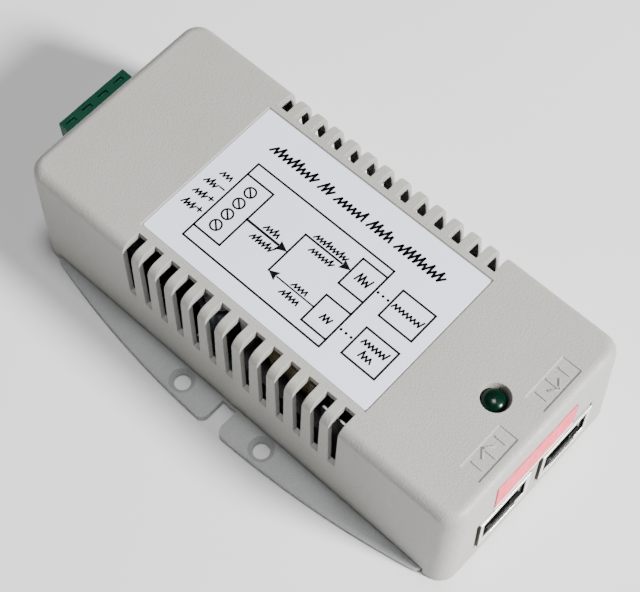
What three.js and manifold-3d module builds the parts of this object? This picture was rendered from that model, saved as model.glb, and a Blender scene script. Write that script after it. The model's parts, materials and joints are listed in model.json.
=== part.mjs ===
// Power-over-Ethernet injector: a DC converter in a slotted plastic case with mounting ears.
// Millimetres. +Z is up. +Y runs from the two network jacks to the power terminal block, and
// +X is the side of the output jack. The origin is on the underside, in the middle of the case.
import * as THREE from "three";
import { mergeVertices } from "three/addons/utils/BufferGeometryUtils.js";
import Module from "manifold-3d";

const wasm = await Module();
wasm.setup();

// ---- driving dimensions ----

const GAP = 0.3; // left between neighbours that touch on the real object
const PAST = 1; // how far a cutting tool runs past the face that it opens

const TOP_WIDTH = 53.1;
const TOP_LENGTH = 122.3;
const CASE_HEIGHT = 33.8;
const WALL = 1.3;
const ROOF = 2.2;
const CORNER_RADIUS = 4.5;
const EDGE_RADIUS = 2.5;
const SIDE_DRAFT = Math.tan(THREE.MathUtils.degToRad(3.27));
const END_DRAFT = Math.tan(THREE.MathUtils.degToRad(0.3));

const SLOT_COUNT = 13;
const SLOT_PITCH = 4.9;
const SLOT_TOP_WIDTH = 2.65;
const SLOT_FOOT_WIDTH = 2.0;
const SLOT_INNER_X = 21.4;
const SLOT_FOOT_Z = 15.7;

const LABEL_WIDTH = 39;
const LABEL_LENGTH = 63.2;
const LABEL_THICKNESS = 0.2;
const LABEL_RECESS = 0.35;
const FLAG_X = [4.0, 15.9];
const FLAG_Y = [-58.0, -53.2];
const FLAG_DEPTH = 0.3;

const PLATE = 2.0; // base plate and ears
const EAR_REACH = 35.5;
const EAR_RADIUS = 244;
const EAR_HALF_LENGTH = 55.4;
const EAR_HOLE_X = 31.6;
const EAR_HOLE_Y = 12.2;
const EAR_HOLE_RADIUS = 1.95;
const EAR_SINK_RADIUS = 3.05;
const NOTCH_HALF = 2;
const NOTCH_INNER_X = 28.9;

const SCREW_X = 22.2;
const SCREW_Y = 52.5;
const SCREW_RADIUS = 1.4;
const SCREW_HEAD_RADIUS = 2.75;
const SCREW_TIP_Z = 15.6;
const BOSS_RADIUS = 2.9;

const BOARD_Z = [3.3, 4.9];
const BOARD_TOP = BOARD_Z[1];
const SEAT_Z = BOARD_TOP + GAP; // where parts stand on the board

const JACK_X = 9.9;
const JACK_HALF = 7.95;
const JACK_Y = [-61.75, -46.2];
const JACK_TOP = 18.2;
const SHEET = 0.4; // the jack shield's sheet metal
const WINDOW_MARGIN = 0.85; // from the port's edge to the edge of the shield's window
const PORT_HALF = 5.95;
const PORT_Z = [9.0, 15.9];
const PORT_DEPTH = 12.6;
const TAB_HALF = 3.1;
const TAB_DROP = 1.5;

const LED_PLACE = [-0.22, -48.78];
const LED_RADIUS = 2.65;
const LED_TOP = 33.75;
const LED_DOME = 1.6; // how far the lens rises above its straight side
const LED_FLANGE_Z = 24.4;
const LED_HOLE = [0, -49];
const LED_HOLE_RADIUS = 3.3;
const LED_COLLAR_Z = 27; // the foot of the collar round the lamp, under the roof
const LED_FLARE_Z = 32.3; // where the lamp's hole starts to flare towards the top face

const POLES = 4;
const POLE_PITCH = 5.0;
const PIN_Z = 9.2;
const PIN_HALF = 0.45;
const HEADER_HALF = 11.2;
const HEADER_Y = [49.3, 61.2];
const HEADER_TOP = 13.4;
const PLUG_HALF = 10.1;
const PLUG_Y = [61.9, 70.7];
const PLUG_Z = [5.3, 21.5];
const NOSE_Y = 53.4;
const CLAMP_Y = 65.1; // the terminal screws' line
const CAGE_Z = [7.2, 15.4];
const CAGE_TRAVEL = 2.0; // how far a cage rises as its screw is turned home

// ---- materials ----

function paint(color, roughness, metalness = 0) {
  return new THREE.MeshStandardMaterial({ color, roughness, metalness });
}

const shellGrey = paint(0xc4c4be, 0.62);
const plateGrey = paint(0x9fa6a6, 0.55);
const labelWhite = paint(0xd9dce4, 0.45);
const pinkPaper = paint(0xeba2ab, 0.6);
const boardGreen = paint(0x14352a, 0.5);
const tinnedSteel = paint(0xd2d3d0, 0.28, 1);
const blackPlastic = paint(0x141416, 0.5);
const gold = paint(0xd8b25a, 0.3, 1);
const greenLens = paint(0x0a4a2c, 0.15);
const terminalGreen = paint(0x1f7a5c, 0.5);
const zincPlate = paint(0xb9bcbf, 0.35, 1);
const ferrite = paint(0x26262a, 0.7);
const oliveTape = paint(0x8a8155, 0.5);
const blueSleeve = paint(0x3d4a5c, 0.35);
const brownWire = paint(0x6a2c1c, 0.4);
const aluminium = paint(0xb4b6b8, 0.4, 1);
const whiteBox = paint(0xe4e4de, 0.5);
const blackScrew = paint(0x303236, 0.4, 1);

// ---- solids: closed geometries, joined and cut ----

function solidOf(geometry) {
  const bare = geometry.index ? geometry.toNonIndexed() : geometry.clone();
  bare.deleteAttribute("normal");
  bare.deleteAttribute("uv");
  const merged = mergeVertices(bare, 1e-4);
  const mesh = new wasm.Mesh({
    numProp: 3,
    vertProperties: merged.attributes.position.array,
    triVerts: new Uint32Array(merged.index.array),
  });
  return new wasm.Manifold(mesh);
}

function geometryOf(solid) {
  const mesh = solid.getMesh();
  const positions = new Float32Array(mesh.numVert * 3);
  for (let i = 0; i < mesh.numVert; i++) {
    const start = i * mesh.numProp;
    positions.set(mesh.vertProperties.subarray(start, start + 3), i * 3);
  }
  const geometry = new THREE.BufferGeometry();
  geometry.setAttribute("position", new THREE.BufferAttribute(positions, 3));
  geometry.setIndex(new THREE.BufferAttribute(mesh.triVerts, 1));
  geometry.computeVertexNormals();
  return geometry;
}

const union = (pieces) => pieces.map(solidOf).reduce((all, piece) => all.add(piece));
const join = (...pieces) => geometryOf(union(pieces));
const cut = (base, ...tools) => geometryOf(solidOf(base).subtract(union(tools)));

function box([x0, x1], [y0, y1], [z0, z1]) {
  const made = new THREE.BoxGeometry(x1 - x0, y1 - y0, z1 - z0);
  return made.translate((x0 + x1) / 2, (y0 + y1) / 2, (z0 + z1) / 2);
}

// A span of the given half width about a centre.
const about = (centre, half) => [centre - half, centre + half];

// An upright round post or, with two radii, an upright cone.
function post(radius, [z0, z1], [x, y], segments = 20, topRadius = radius) {
  const made = new THREE.CylinderGeometry(topRadius, radius, z1 - z0, segments);
  return made.rotateX(Math.PI / 2).translate(x, y, (z0 + z1) / 2);
}

// A body turned about an upright axis from [radius, height] points that run from bottom to top.
function turned(profile, [x, y], segments = 24) {
  const points = profile.map(([radius, height]) => new THREE.Vector2(radius, height));
  return new THREE.LatheGeometry(points, segments).rotateX(Math.PI / 2).translate(x, y, 0);
}

function outline(points) {
  return new THREE.Shape(points.map(([a, b]) => new THREE.Vector2(a, b)));
}

function plate(shape, [z0, z1], curveSegments = 3) {
  const settings = { depth: z1 - z0, bevelEnabled: false, curveSegments };
  return new THREE.ExtrudeGeometry(shape, settings).translate(0, 0, z0);
}

// A bar along X whose section is given as [y, z] points.
function barAlongX(section, [x0, x1]) {
  const turn = new THREE.Matrix4().makeBasis(
    new THREE.Vector3(0, 1, 0),
    new THREE.Vector3(0, 0, 1),
    new THREE.Vector3(1, 0, 0),
  );
  return plate(outline(section), [x0, x1]).applyMatrix4(turn);
}

// A bar along Y whose section is given as [x, z] points.
function barAlongY(section, [y0, y1]) {
  const turn = new THREE.Matrix4().makeBasis(
    new THREE.Vector3(1, 0, 0),
    new THREE.Vector3(0, 0, 1),
    new THREE.Vector3(0, -1, 0),
  );
  return plate(outline(section), [-y1, -y0]).applyMatrix4(turn);
}

function roundedRectangle([x0, x1], [y0, y1], radius) {
  const shape = new THREE.Shape();
  shape.moveTo(x0 + radius, y0);
  shape.absarc(x1 - radius, y0 + radius, radius, -Math.PI / 2, 0);
  shape.absarc(x1 - radius, y1 - radius, radius, 0, Math.PI / 2);
  shape.absarc(x0 + radius, y1 - radius, radius, Math.PI / 2, Math.PI);
  shape.absarc(x0 + radius, y0 + radius, radius, Math.PI, Math.PI * 1.5);
  return shape;
}

// A closed skin over level rings of equal count, from the lowest to the highest.
function loft(rings) {
  const count = rings[0].length;
  const indices = [];
  for (let ring = 0; ring < rings.length - 1; ring++) {
    for (let i = 0; i < count; i++) {
      const here = ring * count + i;
      const next = ring * count + ((i + 1) % count);
      indices.push(here, next, next + count);
      indices.push(here, next + count, here + count);
    }
  }
  const top = (rings.length - 1) * count;
  for (let i = 1; i < count - 1; i++) {
    indices.push(0, i + 1, i);
    indices.push(top, top + i, top + i + 1);
  }
  const geometry = new THREE.BufferGeometry();
  geometry.setAttribute("position", new THREE.Float32BufferAttribute(rings.flat(2), 3));
  geometry.setIndex(indices);
  return geometry;
}

// ---- assembly ----

const group = new THREE.Group();

function add(name, geometry, material) {
  const mesh = new THREE.Mesh(geometry, material);
  mesh.name = name;
  group.add(mesh);
  return mesh;
}

// ---- top cover ----

const halfWidthAt = (z) => TOP_WIDTH / 2 + (CASE_HEIGHT - z) * SIDE_DRAFT;
const halfLengthAt = (z) => TOP_LENGTH / 2 + (CASE_HEIGHT - z) * END_DRAFT;

// The case's outline at height z, moved inwards by inset, as a ring of points.
function caseRing(z, inset, cornerSteps = 6) {
  const radius = Math.max(CORNER_RADIUS - inset, 0.6);
  const cornerX = halfWidthAt(z) - inset - radius;
  const cornerY = halfLengthAt(z) - inset - radius;
  const ring = [];
  for (let corner = 0; corner < 4; corner++) {
    const signX = corner === 0 || corner === 3 ? 1 : -1;
    const signY = corner < 2 ? 1 : -1;
    for (let step = 0; step <= cornerSteps; step++) {
      const angle = (corner + step / cornerSteps) * (Math.PI / 2);
      const x = signX * cornerX + radius * Math.cos(angle);
      const y = signY * cornerY + radius * Math.sin(angle);
      ring.push([x, y, z]);
    }
  }
  return ring;
}

function caseOutside() {
  const rings = [caseRing(0, 0)];
  const steps = 5;
  for (let step = 0; step <= steps; step++) {
    const angle = (step / steps) * (Math.PI / 2);
    const z = CASE_HEIGHT - EDGE_RADIUS + EDGE_RADIUS * Math.sin(angle);
    rings.push(caseRing(z, EDGE_RADIUS * (1 - Math.cos(angle))));
  }
  return loft(rings);
}

function slotTools() {
  const tools = [];
  const foot = SLOT_FOOT_WIDTH / 2;
  const top = SLOT_TOP_WIDTH / 2;
  for (let i = 0; i < SLOT_COUNT; i++) {
    const y = (i - (SLOT_COUNT - 1) / 2) * SLOT_PITCH;
    const section = [
      [y - foot, SLOT_FOOT_Z],
      [y + foot, SLOT_FOOT_Z],
      [y + top, CASE_HEIGHT],
      [y + top, CASE_HEIGHT + PAST],
      [y - top, CASE_HEIGHT + PAST],
      [y - top, CASE_HEIGHT],
    ];
    const outerX = halfWidthAt(0) + PAST;
    tools.push(barAlongX(section, [SLOT_INNER_X, outerX]));
    tools.push(barAlongX(section, [-outerX, -SLOT_INNER_X]));
  }
  return tools;
}

const SCREW_PLACES = [
  [SCREW_X, SCREW_Y],
  [SCREW_X, -SCREW_Y],
  [-SCREW_X, SCREW_Y],
  [-SCREW_X, -SCREW_Y],
];
const BACK_OPENING_HALF = HEADER_HALF + 0.4;

// A close throat round the lamp that flares to a wider mouth, a little aside of the lamp's axis.
function lampHole() {
  const sides = 24;
  const ring = (radius, [x, y], z) => {
    const turns = Array.from({ length: sides }, (_, i) => (i / sides) * 2 * Math.PI);
    return turns.map((angle) => [x + radius * Math.cos(angle), y + radius * Math.sin(angle), z]);
  };
  const throat = LED_RADIUS + GAP;
  return loft([
    ring(throat, LED_PLACE, LED_COLLAR_Z - PAST),
    ring(throat, LED_PLACE, LED_FLARE_Z),
    ring(LED_HOLE_RADIUS, LED_HOLE, CASE_HEIGHT),
    ring(LED_HOLE_RADIUS, LED_HOLE, CASE_HEIGHT + PAST),
  ]);
}

function topCover() {
  const inside = loft([caseRing(-PAST, WALL), caseRing(CASE_HEIGHT - ROOF, WALL)]);
  const intoRoof = CASE_HEIGHT - ROOF / 2;
  const bosses = SCREW_PLACES.map((place) => post(BOSS_RADIUS, [SEAT_Z, intoRoof], place, 16));
  const collar = post(LED_HOLE_RADIUS + 1.1, [LED_COLLAR_Z, intoRoof], LED_HOLE, 24);
  const shell = join(cut(caseOutside(), inside), ...bosses, collar);
  const jackSpan = [JACK_X - JACK_HALF - 0.7, JACK_X + JACK_HALF + 0.7];
  const front = [-halfLengthAt(0) - PAST, -halfLengthAt(0) + WALL + PAST];
  const jackHeight = [SEAT_Z - 0.6, JACK_TOP + 0.4];
  const recessZ = [CASE_HEIGHT - LABEL_RECESS, CASE_HEIGHT + PAST];
  const flagZ = [CASE_HEIGHT - FLAG_DEPTH, CASE_HEIGHT + PAST];
  const mirrored = ([low, high]) => [-high, -low];
  const earSide = [halfWidthAt(0) - WALL - PAST, halfWidthAt(0) + PAST];
  const earSpan = about(0, EAR_HALF_LENGTH + 0.4);
  const underEar = [-PAST, PLATE + GAP];
  return cut(
    shell,
    ...slotTools(),
    ...SCREW_PLACES.map((place) => post(SCREW_RADIUS + GAP, [SEAT_Z - PAST, 17], place, 16)),
    box(jackSpan, front, jackHeight),
    box(mirrored(jackSpan), front, jackHeight),
    box(about(0, BACK_OPENING_HALF), mirrored(front), [SEAT_Z - 0.6, HEADER_TOP + 0.4]),
    box(about(0, LABEL_WIDTH / 2 + 0.3), about(0, LABEL_LENGTH / 2 + 0.3), recessZ),
    box(FLAG_X, FLAG_Y, flagZ),
    box(mirrored(FLAG_X), FLAG_Y, flagZ),
    lampHole(),
    box(earSide, earSpan, underEar),
    box(mirrored(earSide), earSpan, underEar),
  );
}

add("top_cover", topCover(), shellGrey);

// ---- base plate with its two ears ----

function earShape() {
  const centreX = EAR_REACH - EAR_RADIUS;
  const bluntEnd = 0.8; // the arc stops short, and a small bevel ends the ear
  const reach = Math.asin((EAR_HALF_LENGTH - bluntEnd) / EAR_RADIUS);
  const innerX = 24;
  const endX = NOTCH_INNER_X - 0.4;
  const shape = new THREE.Shape();
  shape.moveTo(innerX, -EAR_HALF_LENGTH);
  shape.lineTo(endX, -EAR_HALF_LENGTH);
  shape.absarc(centreX, 0, EAR_RADIUS, -reach, reach);
  shape.lineTo(endX, EAR_HALF_LENGTH);
  shape.lineTo(innerX, EAR_HALF_LENGTH);
  return shape;
}

// The notch in an ear's middle, with round shoulders where it meets the ear's edge.
function notchShape() {
  const round = 2;
  const shoulderX = EAR_REACH - round;
  const shoulderY = NOTCH_HALF + round;
  const shape = new THREE.Shape();
  shape.moveTo(NOTCH_INNER_X, -NOTCH_HALF);
  shape.lineTo(shoulderX, -NOTCH_HALF);
  shape.absarc(shoulderX, -shoulderY, round, Math.PI / 2, 0, true);
  shape.lineTo(EAR_REACH + PAST, -shoulderY);
  shape.lineTo(EAR_REACH + PAST, shoulderY);
  shape.absarc(shoulderX, shoulderY, round, 0, -Math.PI / 2, true);
  shape.lineTo(NOTCH_INNER_X, NOTCH_HALF);
  return shape;
}

function basePlate() {
  const thickness = [0, PLATE];
  const through = [-PAST, PLATE + PAST];
  const middle = plate(roundedRectangle(about(0, 26.6), about(0, 59.4), 3), thickness, 5);
  const tools = [];
  const pieces = [middle];
  const sinkZ = [PLATE - (EAR_SINK_RADIUS - EAR_HOLE_RADIUS), PLATE];
  for (const turn of [0, Math.PI]) {
    pieces.push(plate(earShape(), thickness, 24).rotateZ(turn));
    tools.push(plate(notchShape(), through, 6).rotateZ(turn));
    for (const y of [EAR_HOLE_Y, -EAR_HOLE_Y]) {
      const place = [EAR_HOLE_X, y];
      tools.push(post(EAR_HOLE_RADIUS, through, place, 20).rotateZ(turn));
      tools.push(post(EAR_HOLE_RADIUS, sinkZ, place, 20, EAR_SINK_RADIUS).rotateZ(turn));
    }
  }
  for (const place of SCREW_PLACES) {
    pieces.push(post(BOSS_RADIUS, [PLATE / 2, BOARD_Z[0] - GAP], place, 16));
    tools.push(post(SCREW_RADIUS + GAP, [-PAST, BOARD_Z[0]], place, 16));
    tools.push(post(SCREW_HEAD_RADIUS + GAP, [-0.01, 1.5], place, 16, SCREW_RADIUS + GAP));
  }
  return cut(join(...pieces), ...tools);
}

add("base_plate", basePlate(), plateGrey);

// A countersunk screw that comes up through the base plate and the board into a boss.
function caseScrew(place) {
  const headZ = 0.25;
  const profile = [
    [0, headZ + 0.6],
    [0.9, headZ + 0.6],
    [1.1, headZ],
    [SCREW_HEAD_RADIUS, headZ],
    [SCREW_RADIUS, 1.7],
    [SCREW_RADIUS, SCREW_TIP_Z - 1],
    [0, SCREW_TIP_Z],
  ];
  return turned(profile, place, 16);
}

SCREW_PLACES.forEach((place, i) => add(`case_screw_${i + 1}`, caseScrew(place), blackScrew));

// ---- stickers ----

const labelZ = [CASE_HEIGHT - LABEL_RECESS + 0.02, CASE_HEIGHT - LABEL_RECESS + LABEL_THICKNESS];
const labelShape = roundedRectangle(about(0, LABEL_WIDTH / 2), about(0, LABEL_LENGTH / 2), 0.6);
add("diagram_label", plate(labelShape, labelZ, 3), labelWhite);

// The blank paper sticker lies on the front wall, over the jacks; its top edge was cut askew.
const STICKER_X = [-13.6, 11.6];
const STICKER_Z = [18.9, 31];
const STICKER_TOP_DROP = 1.4;
const PAPER = 0.15;
const wallYAt = (z) => -halfLengthAt(z) - 0.03;
const stickerSection = [
  [wallYAt(STICKER_Z[0]) - PAPER, STICKER_Z[0]],
  [wallYAt(STICKER_Z[0]), STICKER_Z[0]],
  [wallYAt(STICKER_Z[1]), STICKER_Z[1]],
  [wallYAt(STICKER_Z[1]) - PAPER, STICKER_Z[1]],
];
const stickerWaste = [
  [STICKER_X[0], STICKER_Z[1]],
  [STICKER_X[1] + PAST, STICKER_Z[1] - STICKER_TOP_DROP],
  [STICKER_X[1] + PAST, STICKER_Z[1] + PAST],
  [STICKER_X[0], STICKER_Z[1] + PAST],
];
const frontSpan = [-TOP_LENGTH / 2 - 2, -TOP_LENGTH / 2 + 2];
const frontSticker = cut(barAlongX(stickerSection, STICKER_X), barAlongY(stickerWaste, frontSpan));
add("front_sticker", frontSticker, pinkPaper);

// ---- circuit board ----

const POLE_XS = Array.from({ length: POLES }, (_, i) => (i - (POLES - 1) / 2) * POLE_PITCH);
const PIN_LEG_Y = 47.8;

function circuitBoard() {
  const through = [0, CASE_HEIGHT];
  return cut(
    plate(roundedRectangle(about(0, 25.2), about(0, 58.1), 2), BOARD_Z),
    ...SCREW_PLACES.map((place) => post(SCREW_RADIUS + GAP, through, place, 16)),
    ...POLE_XS.map((x) => post(0.95, through, [x, PIN_LEG_Y], 12)),
  );
}

add("circuit_board", circuitBoard(), boardGreen);

// ---- network jacks ----

// The port's section: the plug's rectangle and, below it, the latch's slot.
function portSection(x, margin) {
  const wide = PORT_HALF + margin;
  const narrow = TAB_HALF + margin;
  const [low, high] = [PORT_Z[0] - margin, PORT_Z[1] + margin];
  return [
    [x - narrow, low - TAB_DROP],
    [x + narrow, low - TAB_DROP],
    [x + narrow, low],
    [x + wide, low],
    [x + wide, high],
    [x - wide, high],
    [x - wide, low],
    [x - narrow, low],
  ];
}

function jackShield(x) {
  const outside = box(about(x, JACK_HALF), JACK_Y, [SEAT_Z, JACK_TOP]);
  const insideY = [JACK_Y[0] + SHEET, JACK_Y[1] + PAST];
  const inside = box(about(x, JACK_HALF - SHEET), insideY, [SEAT_Z - PAST, JACK_TOP - SHEET]);
  const window = barAlongY(portSection(x, WINDOW_MARGIN), [JACK_Y[0] - PAST, JACK_Y[0] + PAST]);
  return cut(outside, inside, window);
}

function jackInsert(x) {
  const front = JACK_Y[0] + SHEET + GAP;
  const height = [SEAT_Z, JACK_TOP - SHEET - GAP];
  const block = box(about(x, JACK_HALF - SHEET - GAP), [front, JACK_Y[1]], height);
  const port = barAlongY(portSection(x, 0), [front - PAST, front + PORT_DEPTH]);
  return cut(block, port);
}

// Eight sprung wires that slant down from the port's roof, in one carrier bar at its back.
function jackContacts(x) {
  const pitch = 1.02;
  const half = 0.23;
  const back = JACK_Y[0] + SHEET + PORT_DEPTH;
  const roof = PORT_Z[1] - GAP;
  const low = 13.6;
  const thick = 0.45;
  const pieces = [box(about(x, 4.6), [back - 1.2, back], [low, roof])];
  for (let i = 0; i < 8; i++) {
    const wireX = x + (i - 3.5) * pitch;
    const slant = [
      [back - 8.2, roof],
      [back - 8.2, roof - thick],
      [back - 1.0, low],
      [back - 1.0, low + thick],
    ];
    pieces.push(barAlongX(slant, about(wireX, half)));
  }
  return join(...pieces);
}

for (const [name, x] of [["in", -JACK_X], ["out", JACK_X]]) {
  add(`jack_${name}_shield`, jackShield(x), tinnedSteel);
  add(`jack_${name}_insert`, jackInsert(x), blackPlastic);
  add(`jack_${name}_contacts`, jackContacts(x), gold);
}

// ---- status lamp, on a flat spacer between the jacks ----

function statusLed() {
  const shoulderZ = LED_TOP - LED_DOME;
  const profile = [
    [0, LED_FLANGE_Z],
    [3.1, LED_FLANGE_Z],
    [3.1, LED_FLANGE_Z + 1],
    [LED_RADIUS, LED_FLANGE_Z + 1],
  ];
  const steps = 6;
  for (let step = 0; step <= steps; step++) {
    const angle = (step / steps) * (Math.PI / 2);
    profile.push([LED_RADIUS * Math.cos(angle), shoulderZ + LED_DOME * Math.sin(angle)]);
  }
  profile[profile.length - 1][0] = 0;
  return turned(profile, LED_PLACE, 24);
}

add("status_led", statusLed(), greenLens);

const spacerZ = [SEAT_Z, LED_FLANGE_Z - GAP];
add("led_spacer", box(about(0, 1.3), about(LED_PLACE[1], 2.4), spacerZ), blackPlastic);

// ---- power terminal: a header on the board, and the plug that pulls off it ----

function terminalHeader() {
  const block = box(about(0, HEADER_HALF), HEADER_Y, [SEAT_Z, HEADER_TOP]);
  const cavityY = [HEADER_Y[0] + 3, HEADER_Y[1] + PAST];
  const cavity = box(about(0, HEADER_HALF - 0.9), cavityY, [SEAT_Z + 0.5, HEADER_TOP - 0.6]);
  const holeY = [HEADER_Y[0] - PAST, HEADER_Y[0] + 4];
  const holes = POLE_XS.map((x) => box(about(x, 0.8), holeY, about(PIN_Z, 0.8)));
  const keyY = [HEADER_Y[1] - 5, HEADER_Y[1] + PAST];
  const keys = POLE_XS.map((x) => box(about(x, 0.9), keyY, [HEADER_TOP - 1, HEADER_TOP + PAST]));
  return cut(block, cavity, ...holes, ...keys);
}

function headerPin(x) {
  const leg = box(about(x, PIN_HALF), about(PIN_LEG_Y, PIN_HALF), [2.6, PIN_Z + PIN_HALF]);
  const blade = box(about(x, PIN_HALF), [PIN_LEG_Y - PIN_HALF, 59.4], about(PIN_Z, PIN_HALF));
  return join(leg, blade);
}

const CAGE_HALF_X = 1.85;
const CAGE_HALF_Y = 2.4;
const STRIP_Z = [12.3, 12.9];
const CAVITY_Z = [CAGE_Z[0] - GAP, CAGE_Z[1] + CAGE_TRAVEL + GAP];
const HEAD_Z = [18.6, 20.6];
const HEAD_RADIUS = 1.75;
const THREAD_RADIUS = 1.2;
const WIRE_HOLE_Z = [8.3, 12.1];

function plugHousing() {
  const body = box(about(0, PLUG_HALF), PLUG_Y, PLUG_Z);
  const noseZ = [SEAT_Z + 0.8, HEADER_TOP - 0.9];
  const nose = box(about(0, HEADER_HALF - 1.3), [NOSE_Y, PLUG_Y[0] + 1], noseZ);
  const clampSpan = about(CLAMP_Y, CAGE_HALF_Y + GAP);
  const pinSpan = [NOSE_Y - PAST, clampSpan[0] + 0.1];
  const riserSpan = [PLUG_Y[0] - 0.7, clampSpan[0] + 0.1];
  const wireSpan = [CLAMP_Y, PLUG_Y[1] + PAST];
  const pocketSpan = [PLUG_Y[1] - 2.3, PLUG_Y[1] - 1.2];
  const pocketZ = [PLUG_Z[1] - 0.8, PLUG_Z[1] + PAST];
  const tools = [];
  for (const x of POLE_XS) {
    tools.push(box(about(x, CAGE_HALF_X + GAP), clampSpan, CAVITY_Z));
    tools.push(box(about(x, 1.3), pinSpan, about(PIN_Z, 1.3)));
    tools.push(box(about(x, 1.3), riserSpan, [PIN_Z, STRIP_Z[1] + GAP]));
    tools.push(box(about(x, 1.8), wireSpan, WIRE_HOLE_Z));
    tools.push(post(THREAD_RADIUS + GAP, [CAVITY_Z[1] - 0.1, HEAD_Z[0]], [x, CLAMP_Y], 16));
    tools.push(post(HEAD_RADIUS + GAP, [HEAD_Z[0] - GAP, PLUG_Z[1] + PAST], [x, CLAMP_Y], 20));
    tools.push(box(about(x - 0.3, 1.3), pocketSpan, pocketZ));
  }
  return cut(join(body, nose), ...tools);
}

// A tinned strip: a square sleeve for the header's pin, a riser, and a tongue in the cage.
function plugContact(x) {
  const half = 1.0;
  const free = PIN_HALF + GAP;
  const sleeve = box(about(x, half), [NOSE_Y + 0.8, PLUG_Y[0] + 0.1], about(PIN_Z, half));
  const bore = box(about(x, free), [NOSE_Y, PLUG_Y[0] - 0.5], about(PIN_Z, free));
  const riserY = [PLUG_Y[0] - 0.4, PLUG_Y[0] + 0.2];
  const riser = box(about(x, half), riserY, [PIN_Z - half, STRIP_Z[1]]);
  const tongue = box(about(x, half), [riserY[0], CLAMP_Y + CAGE_HALF_Y], STRIP_Z);
  return join(cut(sleeve, bore), riser, tongue);
}

// The cage that a screw lifts: the wire lies between its floor and the strip above.
function clampCage(x) {
  const wall = 0.5;
  const windowZ = [CAGE_Z[0] + 1, CAGE_Z[1] - 1.1];
  const block = box(about(x, CAGE_HALF_X), about(CLAMP_Y, CAGE_HALF_Y), CAGE_Z);
  const window = box(about(x, CAGE_HALF_X - wall), about(CLAMP_Y, CAGE_HALF_Y + PAST), windowZ);
  const thread = post(THREAD_RADIUS + GAP, [CAGE_Z[1] - 2, CAGE_Z[1] + PAST], [x, CLAMP_Y], 16);
  return cut(block, window, thread);
}

// A slotted screw that turns in place, with its tip just over the strip.
function terminalScrew(x) {
  const tipZ = STRIP_Z[1] + GAP;
  const profile = [
    [0, tipZ],
    [THREAD_RADIUS, tipZ],
    [THREAD_RADIUS, HEAD_Z[0]],
    [HEAD_RADIUS, HEAD_Z[0]],
    [HEAD_RADIUS, HEAD_Z[1]],
    [0, HEAD_Z[1]],
  ];
  const slotZ = [HEAD_Z[1] - 0.9, HEAD_Z[1] + PAST];
  const slot = box(about(x, HEAD_RADIUS + PAST), about(CLAMP_Y, 0.3), slotZ);
  return cut(turned(profile, [x, CLAMP_Y], 20), slot);
}

add("terminal_header", terminalHeader(), terminalGreen);
add("plug_housing", plugHousing(), terminalGreen);
POLE_XS.forEach((x, i) => {
  add(`header_pin_${i + 1}`, headerPin(x), tinnedSteel);
  add(`plug_contact_${i + 1}`, plugContact(x), tinnedSteel);
  add(`clamp_cage_${i + 1}`, clampCage(x), zincPlate);
  add(`terminal_screw_${i + 1}`, terminalScrew(x), zincPlate);
});

// ---- converter parts on the board ----

// Two flat E-shaped ferrite halves, closed on each other round the coil.
const CORE_X = [-24, 1];
const CORE_Y = [-22.7, 1.3];
const CORE_Z = [9.6, 16.4];
const YOKE = 4;
const LEG = 3.8;
const coreMiddle = (CORE_X[0] + CORE_X[1]) / 2;
const CENTRE_LEG = 3.4; // half width
const windowY = [CORE_Y[0] + YOKE, CORE_Y[1] - YOKE];

function transformerCore() {
  const tall = [CORE_Z[0] - PAST, CORE_Z[1] + PAST];
  const left = box([CORE_X[0] + LEG, coreMiddle - CENTRE_LEG], windowY, tall);
  const right = box([coreMiddle + CENTRE_LEG, CORE_X[1] - LEG], windowY, tall);
  return cut(box(CORE_X, CORE_Y, CORE_Z), left, right);
}

const coilHalf = (CORE_X[1] - CORE_X[0]) / 2 - LEG - GAP;
const FLANGE = 1;
const BOBBIN_Z = [SEAT_Z, 23];
const COIL_Z = [5.9, 22.6];
const COIL_ROUND = 3;
const TUBE = 1; // the bobbin tube's wall
const tubeHole = [about(coreMiddle, CENTRE_LEG + GAP), [CORE_Z[0] - GAP, CORE_Z[1] + GAP]];
const grow = ([low, high], by) => [low - by, high + by];

function transformerBobbin() {
  const [holeX, holeZ] = tubeHole;
  const ends = [windowY[0] + GAP, windowY[1] - GAP];
  const low = box(about(coreMiddle, coilHalf), [ends[0], ends[0] + FLANGE], BOBBIN_Z);
  const high = box(about(coreMiddle, coilHalf), [ends[1] - FLANGE, ends[1]], BOBBIN_Z);
  const tube = box(grow(holeX, TUBE), ends, grow(holeZ, TUBE));
  return cut(join(low, high, tube), box(holeX, grow(ends, PAST), holeZ));
}

function transformerCoil() {
  const [holeX, holeZ] = tubeHole;
  const span = [windowY[0] + FLANGE + 2 * GAP, windowY[1] - FLANGE - 2 * GAP];
  const shape = roundedRectangle(about(coreMiddle, coilHalf - 0.2), COIL_Z, COIL_ROUND);
  const section = shape.getPoints(2).map((point) => [point.x, point.y]);
  const hole = box(grow(holeX, TUBE + GAP), grow(span, PAST), grow(holeZ, TUBE + GAP));
  return cut(barAlongY(section, span), hole);
}

add("transformer_core", transformerCore(), ferrite);
add("transformer_bobbin", transformerBobbin(), blackPlastic);
add("transformer_coil", transformerCoil(), oliveTape);

// A can with the sleeve's rolled edge and the groove above its rubber seal.
function capacitor(radius, height, place) {
  const top = SEAT_Z + height;
  const neck = radius - 0.5;
  const profile = [
    [0, SEAT_Z],
    [radius - 0.4, SEAT_Z],
    [radius, SEAT_Z + 0.5],
    [radius, SEAT_Z + 1.6],
    [neck, SEAT_Z + 2.1],
    [radius, SEAT_Z + 2.6],
    [radius, top - 0.6],
    [radius - 0.6, top],
    [radius - 1.2, top - 0.4],
    [0, top - 0.4],
  ];
  return turned(profile, place, 20);
}

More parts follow.
